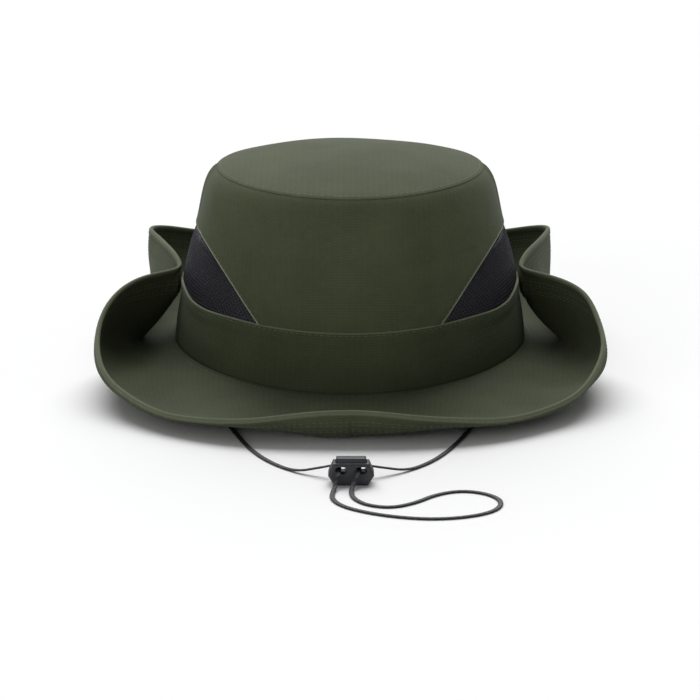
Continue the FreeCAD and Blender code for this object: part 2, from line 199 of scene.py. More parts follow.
def on_crown(angle, share, out=0.0):
    """Points on the crown's side at a share of its height, pushed out from its face."""
    turn = np.radians(angle)
    lean = smooth(*zip(*WALL_LEAN), share)
    half_width = BASE_HALF_WIDTH + (TIP_HALF_WIDTH - BASE_HALF_WIDTH) * lean + out
    half_length = BASE_HALF_LENGTH + (TIP_HALF_LENGTH - BASE_HALF_LENGTH) * lean + out
    low = BASE_FRONT_Z + BASE_SIDE_RISE * np.sin(turn) ** 2
    high = TIP_FRONT_Z + TIP_SIDE_RISE * np.sin(turn) ** 2
    return np.stack([half_width * np.sin(turn), -half_length * np.cos(turn), low + (high - low) * share], -1)


def seam_angle(share):
    """Where the slanted seam stands, on either side of the panel's middle."""
    climb = np.clip((share - BAND_TOP) / (MESH_TOP - BAND_TOP), 0, 1)
    return SEAM_LOW + (SEAM_HIGH - SEAM_LOW) * (1 - (1 - climb) ** SEAM_SWEEP)


def edge_line(middle, side):
    """One side edge of a panel from the band to the tip: the slanted seam over the mesh, then straight up."""
    sweep = np.linspace(0, 1, 600)
    climb = 1 - (1 - sweep) ** (1 / SEAM_SWEEP)
    share = np.concatenate([np.linspace(BAND_TOP - 0.02, BAND_TOP, HIDDEN_STEPS, endpoint=False),
                            BAND_TOP + (MESH_TOP - BAND_TOP) * climb,
                            np.linspace(MESH_TOP, 0.997, 160)[1:]])
    angle = middle + side * np.concatenate([np.full(HIDDEN_STEPS, SEAM_LOW),
                                            SEAM_LOW + (SEAM_HIGH - SEAM_LOW) * sweep,
                                            np.full(159, SEAM_HIGH)])
    line = on_crown(angle, share)
    along_wall = on_crown(angle, share + 0.002) - on_crown(angle, share - 0.002)
    round_wall = on_crown(angle + 0.2, share) - on_crown(angle - 0.2, share)
    out = np.cross(round_wall, along_wall)
    out /= np.linalg.norm(out, axis=-1, keepdims=True)
    ahead = np.gradient(line, axis=0)
    inward = np.cross(out, ahead) * side
    inward /= np.linalg.norm(inward, axis=-1, keepdims=True)
    return line, out, inward


def from_line(points, line):
    """Distance from each point of a grid to a line, and how far along the line that is."""
    run = steps_along(line, 0)
    distance = np.zeros(points.shape[:2])
    along = np.zeros(points.shape[:2])
    for i, row in enumerate(points):
        gaps = np.linalg.norm(row[:, None] - line[None], axis=-1)
        nearest = gaps.argmin(axis=1)
        distance[i] = gaps[np.arange(len(row)), nearest]
        along[i] = run[nearest]
    return distance, along


def steps_along(points, axis):
    """Distance run along a grid's rows or columns, from the first."""
    lengths = np.linalg.norm(np.diff(points, axis=axis), axis=-1)
    zero = np.zeros_like(np.take(lengths, [0], axis=axis))
    return np.concatenate([zero, np.cumsum(lengths, axis=axis)], axis=axis)


def grid_normals(points, ring=False):
    """Unit normals of a grid of points. A ring's first axis runs round and closes."""
    if ring:
        around = np.roll(points, -1, axis=0) - np.roll(points, 1, axis=0)
    else:
        around = np.gradient(points, axis=0)
    normals = np.cross(around, np.gradient(points, axis=1))
    return normals / np.maximum(np.linalg.norm(normals, axis=-1, keepdims=True), 1e-9)


def to_row(points):
    """Millimetres about the crown's axis to metres in the hat's own frame."""
    return (np.asarray(points, float) + (0, CROWN_Y, 0)) * 0.001


def node_box(node):
    """Low and high corners of a node's box, in millimetres about the crown's axis."""
    return [np.array(corner) * 1000 - (0, CROWN_Y, 0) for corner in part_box(node)]


def new_piece(name, points, faces, uv=None, material=None, sharp=50):
    """Mesh object from millimetre points. uv, one per point in millimetres, goes into a map in metres."""
    mesh = bpy.data.meshes.new(name)
    mesh.from_pydata(to_row(points), [], faces)
    if uv is not None:
        layer = mesh.uv_layers.new(name="cloth")
        corners = np.zeros(len(mesh.loops), dtype=np.int32)
        mesh.loops.foreach_get("vertex_index", corners)
        layer.data.foreach_set("uv", (np.asarray(uv)[corners] * 0.001).astype(np.float32).ravel())
    mesh.shade_smooth()
    if sharp:
        mesh.set_sharp_from_angle(angle=math.radians(sharp))
    mesh.materials.append(material)
    piece = bpy.data.objects.new(name, mesh)
    bpy.context.collection.objects.link(piece)
    return piece


def cell_faces(rows, columns, start=0, ring=False, flip=False):
    """Quads of a grid of points numbered row by row from start."""
    first = np.arange(rows if ring else rows - 1)
    i, j = np.meshgrid(first, np.arange(columns - 1), indexing="ij")
    k = (i + 1) % rows
    quads = np.stack([i * columns + j, k * columns + j, k * columns + j + 1, i * columns + j + 1], -1)
    quads = quads.reshape(-1, 4)
    return (quads[:, ::-1] if flip else quads) + start


def sheet_piece(name, face, back, uv, material, ring=False, sharp=50):
    """Closed sheet of cloth between a grid of points on its face and one on its back."""
    rows, columns = face.shape[:2]
    count = rows * columns
    numbers = np.arange(count).reshape(rows, columns)
    faces = [cell_faces(rows, columns, 0, ring), cell_faces(rows, columns, count, ring, True)]
    borders = [(numbers[:, 0], True), (numbers[:, -1], False)]
    if not ring:
        borders += [(numbers[0], False), (numbers[-1], True)]
    for line, forward in borders:
        if ring:
            line = np.append(line, line[0])
        near, far = (line[:-1], line[1:]) if forward else (line[1:], line[:-1])
        faces.append(np.stack([near, near + count, far + count, far], -1))
    points = np.concatenate([face.reshape(-1, 3), back.reshape(-1, 3)])
    both = np.concatenate([uv.reshape(-1, 2)] * 2)
    return new_piece(name, points, np.concatenate(faces).tolist(), both, material, sharp)


def fold_rise(distance, run):
    """How far a folded and topstitched edge stands proud: round at the fold, dimpled at each stitch."""
    shoulder = np.clip(1 - distance / FOLD_THICK, 0, 1)
    rise = FOLD_THICK - (FOLD_THICK + PANEL_THICK) * (1 - np.sqrt(1 - shoulder ** 2))
    fade = 1 - ease(3.5, 8.0, distance)
    rise = np.where(distance < 1, rise, FOLD_THICK * fade)
    pull = 0.75 + 0.25 * np.cos(run * math.tau / STITCH_PITCH)
    return rise - STITCH_DENT * pull * np.exp(-((distance - EDGE_STITCH) / 0.55) ** 2)


def cloth_waves(angle, height, seed):
    """Slight buckles of stiff cloth that has been packed and worn, in millimetres."""
    picks = np.random.default_rng(seed)
    total = np.zeros_like(angle * height)
    for _ in range(9):
        along = picks.uniform(-4.5, 4.5)
        up = picks.uniform(-0.09, 0.09)
        size = picks.uniform(0.3, 1.0)
        start = picks.uniform(0, math.tau)
        total += size * np.sin(np.radians(angle) * along * 1.6 + height * up + start)
    return total / 5


# Distance between a wave texture's bands at scale 1
WAVE_PITCH = math.tau / 20
UPRIGHT_PITCH = 2.9


def ripstop(name, base_hex, shade_hex, rib_pitch=1.35, rib_depth=0.05, sheen=0.06):
    """Ripstop polyester: plain woven, matt, with a slightly thicker thread every few, so the eye sees
    fine ribs across the cloth, a fainter upright grid, and small uneven patches of colour from wear.
    The ribs are drawn coarser than they are woven, so that they show."""
    material, tree, shader = start_material(name, Roughness=0.82, IOR=1.46)
    shader.inputs["Sheen Weight"].default_value = sheen
    shader.inputs["Sheen Roughness"].default_value = 0.45
    shader.inputs["Specular IOR Level"].default_value = 0.16
    own_map = add(tree, "ShaderNodeUVMap", uv_map="cloth").outputs["UV"]
    ribs = add(tree, "ShaderNodeTexWave",
               {"Vector": own_map, "Scale": WAVE_PITCH / (rib_pitch * 0.001), "Distortion": 0.6,
                "Detail": 1.0, "Detail Scale": 0.6},
               bands_direction="Y", wave_profile="SIN")
    uprights = add(tree, "ShaderNodeTexWave",
                   {"Vector": own_map, "Scale": WAVE_PITCH / (UPRIGHT_PITCH * 0.001), "Distortion": 0.8,
                    "Detail": 1.0, "Detail Scale": 0.5},
                   bands_direction="X", wave_profile="SIN")
    threads = add(tree, "ShaderNodeTexNoise",
                  {"Vector": own_map, "Scale": 1900.0, "Detail": 2.0, "Roughness": 0.6})
    grid = add(tree, "ShaderNodeMath", {0: ribs.outputs["Fac"], 1: uprights.outputs["Fac"]},
               operation="MULTIPLY")
    lift = add(tree, "ShaderNodeMath", {0: ribs.outputs["Fac"], 1: 0.7, 2: grid.outputs[0]},
               operation="MULTIPLY_ADD")
    rough = add(tree, "ShaderNodeMath", {0: threads.outputs["Fac"], 1: 0.9, 2: lift.outputs[0]},
                operation="MULTIPLY_ADD")
    bump = add(tree, "ShaderNodeBump",
               {"Height": rough.outputs[0], "Strength": 0.55, "Distance": rib_depth * 0.002})
    place = add(tree, "ShaderNodeTexCoord").outputs["Object"]
    patches = add(tree, "ShaderNodeTexNoise",
                  {"Vector": place, "Scale": 38.0, "Detail": 3.0, "Roughness": 0.55})
    mottle = add(tree, "ShaderNodeTexNoise",
                 {"Vector": own_map, "Scale": 330.0, "Detail": 2.0, "Roughness": 0.6})
    worn = add(tree, "ShaderNodeMath", {0: patches.outputs["Fac"], 1: 0.8, 2: -0.1}, operation="MULTIPLY_ADD")
    spots = add(tree, "ShaderNodeMath", {0: mottle.outputs["Fac"], 1: 0.35, 2: worn.outputs[0]},
                operation="MULTIPLY_ADD")
    woven = add(tree, "ShaderNodeMath", {0: rough.outputs[0], 1: 0.16, 2: spots.outputs[0]},
                operation="MULTIPLY_ADD", use_clamp=True)
    colour = add(tree, "ShaderNodeMix", {0: woven.outputs[0], 6: linear(shade_hex), 7: linear(base_hex)},
                 data_type="RGBA")
    # Folded edges are mixed towards pale olive by this attribute: partly real rubbing, partly a painted
    # highlight where the fold catches the light.
    wear_and_highlight = add(tree, "ShaderNodeAttribute", attribute_name="wear_and_highlight")
    rubbed_and_lit = add(tree, "ShaderNodeMix", {0: wear_and_highlight.outputs["Fac"], 6: colour.outputs[2], 7: linear("#a5aa90")},
                 data_type="RGBA")
    tree.links.new(rubbed_and_lit.outputs[2], shader.inputs["Base Color"])
    tree.links.new(bump.outputs["Normal"], shader.inputs["Normal"])
    return material


crown_cloth = ripstop("ripstop_polyester_crown", "#565c43", "#3b402f")


def mark_wear_and_highlight(piece, amount):
    """Stores how far each point's cloth is painted pale: real rubbing on folded edges, and a painted
    highlight where the fold catches the light.
    """
    layer = piece.data.attributes.new("wear_and_highlight", "FLOAT", "POINT")
    layer.data.foreach_set("value", np.asarray(amount, np.float32).ravel())


def thread_material(name, hex_colour):
    """Spun polyester thread: matt, twisted, a shade lighter than the cloth that it sinks into."""
    material, tree, shader = start_material(name, Roughness=0.7, IOR=1.5)
    place = add(tree, "ShaderNodeTexCoord").outputs["Object"]
    fuzz = add(tree, "ShaderNodeTexNoise", {"Vector": place, "Scale": 1400.0, "Detail": 2.0})
    ramp = add(tree, "ShaderNodeMix", {0: fuzz.outputs["Fac"], 6: linear(hex_colour), 7: linear("#474b38")},
               data_type="RGBA")
    bump = add(tree, "ShaderNodeBump", {"Height": fuzz.outputs["Fac"], "Strength": 0.4, "Distance": 0.0001})
    tree.links.new(ramp.outputs[2], shader.inputs["Base Color"])
    tree.links.new(bump.outputs["Normal"], shader.inputs["Normal"])
    return material


olive_thread = thread_material("spun_polyester_thread_olive", "#6f745c")
THREAD_WIDTH = 0.42
STITCH_LENGTH = 2.3


def sew(name, lines, material, pitch=STITCH_PITCH, width=THREAD_WIDTH, lift=0.10):
    """Rows of stitches. Each line is its points and the cloth's outward normals there."""
    sides = 6
    shares = np.array([0.0, 0.12, 0.5, 0.88, 1.0])
    swell = np.array([0.25, 0.8, 1.0, 0.8, 0.25])
    turns = np.arange(sides) * math.tau / sides
    points = []
    for line, out in lines:
        run = steps_along(line, 0)
        count = max(int(run[-1] / pitch), 1)
        starts = (np.arange(count) + 0.15) * run[-1] / count
        at = starts[:, None] + shares * STITCH_LENGTH / STITCH_PITCH * pitch
        centre = np.stack([np.interp(at, run, line[:, k]) for k in range(3)], -1)
        normal = np.stack([np.interp(at, run, out[:, k]) for k in range(3)], -1)
        normal /= np.linalg.norm(normal, axis=-1, keepdims=True)
        ahead = centre[:, -1:] - centre[:, :1]
        ahead = ahead / np.linalg.norm(ahead, axis=-1, keepdims=True)
        side = np.cross(ahead, normal)
        centre = centre + normal * (lift - 0.3 * (1 - swell))[:, None]
        across = (side[:, :, None] * np.cos(turns)[:, None] * width / 2
                  + normal[:, :, None] * np.sin(turns)[:, None] * width * 0.36)
        points.append((centre[:, :, None] + across * swell[None, :, None, None]).reshape(-1, 3))
    points = np.concatenate(points)
    per_stitch = len(shares) * sides
    quads = []
    for ring in range(len(shares) - 1):
        for k in range(sides):
            n = (k + 1) % sides
            quads.append([ring * sides + k, (ring + 1) * sides + k, (ring + 1) * sides + n, ring * sides + n])
    quads = np.array(quads)
    starts = np.arange(len(points) // per_stitch)[:, None, None] * per_stitch
    faces = (quads[None] + starts).reshape(-1, 4).tolist()
    first_end = np.arange(sides)
    last_end = first_end[::-1] + (len(shares) - 1) * sides
    for end in (first_end, last_end):
        faces += (end[None] + starts[:, :, 0]).tolist()
    return new_piece(name, points, faces, None, material, 0)


PANEL_COLUMNS = 281
PANEL_SHARES = np.concatenate([np.linspace(BAND_TOP - 0.012, 0.56, 36), np.linspace(0.56, 0.69, 54)[1:],
                               np.linspace(0.69, 0.997, 42)[1:]])


def make_panel(name, middle, seed):
    """One crown panel and the topstitching down its two side edges."""
    spread = np.linspace(-1, 1, PANEL_COLUMNS)
    spread = spread * (1.5 - 0.5 * spread ** 2)
    share = PANEL_SHARES[None, :]
    angle = middle + spread[:, None] * seam_angle(share)
    share = share + 0 * angle
    base = on_crown(angle, share)
    across = steps_along(base, 0)
    up = steps_along(base, 1)
    from_edge = np.zeros_like(share)
    along_edge = np.zeros_like(share)
    half = PANEL_COLUMNS // 2
    lines = []
    for side, columns in ((-1, slice(0, half)), (1, slice(half, None))):
        line, out, inward = edge_line(middle, side)
        from_edge[columns], along_edge[columns] = from_line(base[columns], line)
        height = fold_rise(np.array(EDGE_STITCH), 0.0)
        seam = line + inward * EDGE_STITCH + out * height
        lines.append((seam[HIDDEN_STEPS + 1:], out[HIDDEN_STEPS + 1:]))
    from_edge[0] = 0
    from_edge[-1] = 0
    from_top = up[:, -1:] - up
    rise = fold_rise(from_edge, along_edge)
    buckle = cloth_waves(angle, up, seed) * 0.55
    rise = rise + buckle * ease(2, 22, from_edge) * ease(1, 14, from_top) * ease(0, 10, up)
    rise = rise - 0.55 * np.exp(-(from_top / 1.0) ** 2) - 0.10 * np.exp(-((from_top - 1.9) / 0.6) ** 2)
    normals = grid_normals(base)
    face = base + normals * rise[..., None]
    back = face - normals * PANEL_THICK
    uv = np.stack([across - across[-1] / 2, up], -1)
    panel = sheet_piece(name, face, back, uv, crown_cloth)
    # Painted highlight, with some real rubbing, along the folded slanted edges over the mesh
    wear_and_highlight = 0.8 * (1 - ease(0.6, 1.2, from_edge)) * (share < MESH_TOP + 0.01)
    mark_wear_and_highlight(panel, np.stack([wear_and_highlight, wear_and_highlight]))
    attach(panel, "hat")
    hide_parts(name)
    thread = sew(name + "_stitching", lines, olive_thread)
    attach(thread, "hat")


make_panel("front_panel", 0, 11)
make_panel("back_panel", 180, 23)

# ----------------------------------------------------------------------------
# Side mesh: a three-cornered piece of black spacer mesh on each side, knitted with small round cells.
# Its edges lie under the folded edges of the panels and of the band.
MESH_THICK = 1.0
MESH_SINK = 0.25
CELL_PITCH = 2.5
CELL_DEPTH = 0.75
MESH_COLUMNS = 341
MESH_ROWS = 92
MESH_TUCK = 1.6

mesh_cloth, mesh_tree, mesh_shader = start_material("spacer_mesh_black", Roughness=0.48, IOR=1.5)
mesh_shader.inputs["Specular IOR Level"].default_value = 0.4
cell_pit_shade = add(mesh_tree, "ShaderNodeAttribute", attribute_name="cell_pit_shade")
knit_map = add(mesh_tree, "ShaderNodeUVMap", uv_map="cloth").outputs["UV"]
knit = add(mesh_tree, "ShaderNodeTexNoise", {"Vector": knit_map, "Scale": 1500.0, "Detail": 2.0})
knit_bump = add(mesh_tree, "ShaderNodeBump",
                {"Height": knit.outputs["Fac"], "Strength": 0.5, "Distance": 0.0002})
strand = add(mesh_tree, "ShaderNodeMix",
             {0: knit.outputs["Fac"], 6: linear("#222127"), 7: linear("#45444f")}, data_type="RGBA")
# The cell pits are painted near black: painted shade deep in each knitted cell.
mesh_colour = add(mesh_tree, "ShaderNodeMix",
                  {0: cell_pit_shade.outputs["Fac"], 6: strand.outputs[2], 7: linear("#030304")}, data_type="RGBA")
mesh_tree.links.new(mesh_colour.outputs[2], mesh_shader.inputs["Base Color"])
mesh_tree.links.new(knit_bump.outputs["Normal"], mesh_shader.inputs["Normal"])


def cells(u, v, pitch):
    """1 in the middle of each knitted cell, 0 on the strands between. Cells stand in a honeycomb."""
    high = pitch * math.sqrt(3)
    nearest = np.full_like(u, 1e9)
    for shift in (0, 0.5):
        du = u - (np.round(u / pitch - shift) + shift) * pitch
        dv = v - (np.round(v / high - shift) + shift) * high
        nearest = np.minimum(nearest, np.hypot(du, dv))
    return 1 - ease(0.30 * pitch, 0.50 * pitch, nearest)


def make_mesh_side(name, middle):
    share = np.linspace(BAND_TOP - 0.035, MESH_TOP - 0.006, MESH_ROWS)[None, :]
    tuck = np.degrees(MESH_TUCK / 88)
    half = 90 - seam_angle(share) + tuck
    angle = middle + np.linspace(-1, 1, MESH_COLUMNS)[:, None] * half
    share = share + 0 * angle
    base = on_crown(angle, share, -MESH_SINK)
    across = steps_along(base, 0)
    across = across - across[-1] / 2
    up = steps_along(base, 1)
    pit = cells(across, up, CELL_PITCH)
    normals = grid_normals(base)
    slack = cloth_waves(angle, up, 5) * 0.25 * ease(0, 8, up)
    face = base + normals * (slack - pit * CELL_DEPTH)[..., None]
    back = base + normals * (slack - MESH_THICK)[..., None]
    piece = sheet_piece(name, face, back, np.stack([across, up], -1), mesh_cloth, sharp=0)
    # The pit mask also darkens the colour in the cells, as painted shade.
    depth = piece.data.attributes.new("cell_pit_shade", "FLOAT", "POINT")
    depth.data.foreach_set("value", np.concatenate([pit.ravel(), pit.ravel()]).astype(np.float32))
    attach(piece, "hat")
    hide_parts(name)


make_mesh_side("left_mesh_panel", 90)
make_mesh_side("right_mesh_panel", 270)

# ----------------------------------------------------------------------------
# Tip: the oval top of the crown, one piece of the same cloth, sewn to the panels all round its edge
# and topstitched just inside the seam.
TIP_DOME = 11.0
TIP_STITCH = 2.2
TIP_RADIUS = 71.0
TIP_RINGS = 84
TIP_SPOKES = 420


def make_tip():
    radius = np.linspace(0, 1, TIP_RINGS) ** 0.75
    angle = np.arange(TIP_SPOKES) * 360 / TIP_SPOKES
    turn = np.radians(angle)[:, None]
    radius = radius[None, :]
    x = (TIP_HALF_WIDTH + 0.35) * radius * np.sin(turn)
    y = -(TIP_HALF_LENGTH + 0.35) * radius * np.cos(turn)
    from_seam = (1 - radius) * TIP_RADIUS
    height = TIP_FRONT_Z + TIP_SIDE_RISE * (radius * np.sin(turn)) ** 2 + TIP_DOME * (1 - radius ** 2)
    height = height - 0.45 * np.exp(-(from_seam / 0.8) ** 2)
    run = np.radians(angle)[:, None] * TIP_RADIUS
    pull = 0.7 + 0.3 * np.cos(run * math.tau / STITCH_PITCH)
    height = height - 0.12 * np.exp(-((from_seam - TIP_STITCH) / 0.7) ** 2) * pull
    waves = (np.sin(x * 0.061 + 0.7) * np.cos(y * 0.047 + 1.1) + 0.5 * np.sin(x * 0.11 - y * 0.083)) * 0.35
    height = height + waves * ease(3, 25, from_seam)
    face = np.stack([x, y, height], -1)
    back = face - (0, 0, PANEL_THICK)
    piece = sheet_piece("crown_top", face, back, face[..., :2], crown_cloth, ring=True)
    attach(piece, "hat")
    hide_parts("crown_top")
    normals = grid_normals(face, ring=True)
    ring = int(np.argmin(np.abs(from_seam[0] - TIP_STITCH)))
    line = np.append(face[:, ring], face[:1, ring], axis=0)
    out = np.append(normals[:, ring], normals[:1, ring], axis=0)
    thread = sew("tip_stitching", [(line, out)], olive_thread)
    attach(thread, "hat")


make_tip()

# ----------------------------------------------------------------------------
# Crown band: a straight band of the crown cloth round the foot of the crown, its top edge folded and stitched
# over the panels and the mesh, its bottom edge caught in the seam with the brim.
BAND_COLUMNS = 620
BAND_ROWS = 44
BAND_PROUD = 0.25
CROWN_RADIUS = 94.0
# The band is the crown's cloth, painted a little darker as shade low on the crown beside the brim.
band_cloth_painted_shade = ripstop("ripstop_polyester_band_painted_shade", "#50563e", "#363b2a")


def band_top(angle):
    """Share of the crown's height that the band reaches: it dips beside the front, and rises at the sides."""
    from_front = np.abs((angle + 180) % 360 - 180)
    dip = 0.017 * np.exp(-((from_front - 60) / 13) ** 2)
    step = 0.024 * ease(66, 82, from_front) * (1 - ease(100, 130, from_front))
    return BAND_TOP - dip + step


def make_band():
    angle = (np.arange(BAND_COLUMNS) * 360 / BAND_COLUMNS)[:, None]
    share = np.linspace(0, 1, BAND_ROWS)
    share = (share * (1.5 - 0.5 * share ** 2))[None, :] * (band_top(angle) + 0.006)
    base = on_crown(angle, share, BAND_PROUD)
    up = steps_along(base, 1)
    run = np.radians(angle) * CROWN_RADIUS
    from_top = up[:, -1:] - up
    rise = fold_rise(from_top, run) - 0.9 * np.exp(-(up / 0.9) ** 2)
    rise = rise + cloth_waves(angle, up, 7) * 0.3 * ease(1, 9, up) * ease(2, 9, from_top)
    normals = grid_normals(base, ring=True)
    face = base + normals * rise[..., None]
    back = base - normals * 0.3
    uv = np.stack([run + 0 * up, up], -1)
    piece = sheet_piece("crown_band", face, back, uv, band_cloth_painted_shade, ring=True)
    # Painted highlight, with some real rubbing, along the band's folded top edge
    wear_and_highlight = 0.35 * (1 - ease(0.3, 0.8, from_top))
    mark_wear_and_highlight(piece, np.stack([wear_and_highlight, wear_and_highlight]))
    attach(piece, "hat")
    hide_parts(*[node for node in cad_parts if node.endswith("crown_band")])
    row = int(np.argmin(np.abs(from_top[0] - EDGE_STITCH)))
    line = np.append(face[:, row], face[:1, row], axis=0)
    out = np.append(normals[:, row], normals[:1, row], axis=0)
    thread = sew("crown_band_stitching", [(line, out)], olive_thread)
    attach(thread, "hat")


make_band()

# ----------------------------------------------------------------------------
# Brim: two layers of cloth over a stiff interlining, quilted with rows of stitching and hemmed at the rim.
# It is drawn in four quarters.
# Stations on one side: angle, rim point x y z, how far out and up the brim leaves the crown, and from how far
# out and up of the rim it arrives.
BRIM = [
    (0, 0, -166.7, 16, 36, -2.5, -4.9, -22.7),
    (14, 33.4, -165.9, 13.3, 35.7, -6.5, -6, -13.4),
    (28, 65, -157.9, 9.8, 27.8, -1.4, -8.2, -8.2),
    (48, 103.4, -126.5, 11.9, 28.9, -3.4, -5.7, -13.9),
    (62, 120.1, -94, 21.6, 28.4, -6.3, 3.3, -16),
    (74, 121, -57.4, 35.1, 27.7, -6.6, 11.9, -26),
    (83, 105, -23.7, 45.3, 33.7, -8.1, 11.2, -27.7),
    (87, 91.2, -8, 45.6, 42, -9, 1, -31),
    (90, 87.2, 0, 46.0, 44, -9, -1.5, -32),
    (93.5, 87.6, 7, 47.2, 42, -9, -1, -31),
    (97, 89.5, 14, 48.5, 38, -8, 4, -30),
    (107, 97, 40, 50.0, 28, -7, 6, -28),
    (118, 106, 80, 49.0, 24, -6, 3, -24),
    (126, 100, 100, 45.5, 24, -6, 2, -24),
    (140, 82, 126, 37.5, 26, -6, 0, -22),
    (158, 48, 152, 30.0, 28, -8, -4, -20),
    (180, 0, 165, 27.0, 30, -11, -8, -21),
]
BRIM_HALF = 0.95
HEM_HALF = 1.15
HEM_WIDTH = 2.2
RIM_ROWS = (4.6, 6.4, 9.6, 11.2)
CROWN_ROW = 3.0
QUARTER_COLUMNS = 200
NEAR_RIM = 14.0
NEAR_RIM_ROWS = 30
FAR_ROWS = 46
# The cloth is pressed flat where each snap is riveted through it, measured along the snap from its socket
SNAP_TILT = math.radians(10)
SOCKET_SEAT = 0.27
CAP_SEAT = 2.36

station_angles = [row[0] for row in BRIM]
ring_angles = station_angles + [360 - a for a in reversed(station_angles[1:-1])]
wrapped_angles = [a - 360 for a in ring_angles] + ring_angles + [a + 360 for a in ring_angles]


def around_brim(column, angle, mirror=1):
    """A station column, smooth right round the hat. mirror is -1 for what changes sign from side to side."""
    values = [row[column] for row in BRIM]
    ring = values + [mirror * v for v in reversed(values[1:-1])]
    return smooth(wrapped_angles, ring * 3, angle)


def brim_corners(angle):
    """The four points that set the brim's curve from crown to rim, at each angle."""
    turn = np.radians(angle)
    root = on_crown(angle, 0 * turn)
    out = np.stack([np.sin(turn) / BASE_HALF_WIDTH, -np.cos(turn) / BASE_HALF_LENGTH, 0 * turn], -1)
    out /= np.linalg.norm(out, axis=-1, keepdims=True)
    up = np.array([0, 0, 1.0])
    rim = np.stack([around_brim(1, angle, -1), around_brim(2, angle), around_brim(3, angle)], -1)
    leave = root + out * around_brim(4, angle)[:, None] + up * around_brim(5, angle)[:, None]
    arrive = rim + out * around_brim(6, angle)[:, None] + up * around_brim(7, angle)[:, None]
    return root, leave, arrive, rim


def brim_grid(angle, from_rim_rows):
    """Middle of the brim's thickness at given distances from the rim, and how far each is from the crown."""
    corners = brim_corners(angle)
    t = np.linspace(0, 1, 241)
    weights = [(1 - t) ** 3, 3 * (1 - t) ** 2 * t, 3 * (1 - t) * t * t, t ** 3]
    fine = sum(w[None, :, None] * c[:, None, :] for w, c in zip(weights, corners))
    run = steps_along(fine, 1)
    length = run[:, -1]
    near = np.asarray(from_rim_rows)
    places = []
    for i in range(len(angle)):
        far = np.linspace(length[i], NEAR_RIM, FAR_ROWS + 1)[:-1]
        at = length[i] - np.concatenate([far, near])
        places.append(np.stack([np.interp(at, run[i], fine[i, :, k]) for k in range(3)] + [at], -1))
    places = np.array(places)
    return places[..., :3], places[..., 3], length[:, None]


# The brim is the crown's cloth painted a little darker, as shade on the brim below the crown.
brim_cloth_painted_shade = ripstop("ripstop_polyester_brim_painted_shade", "#4f553d", "#343929")


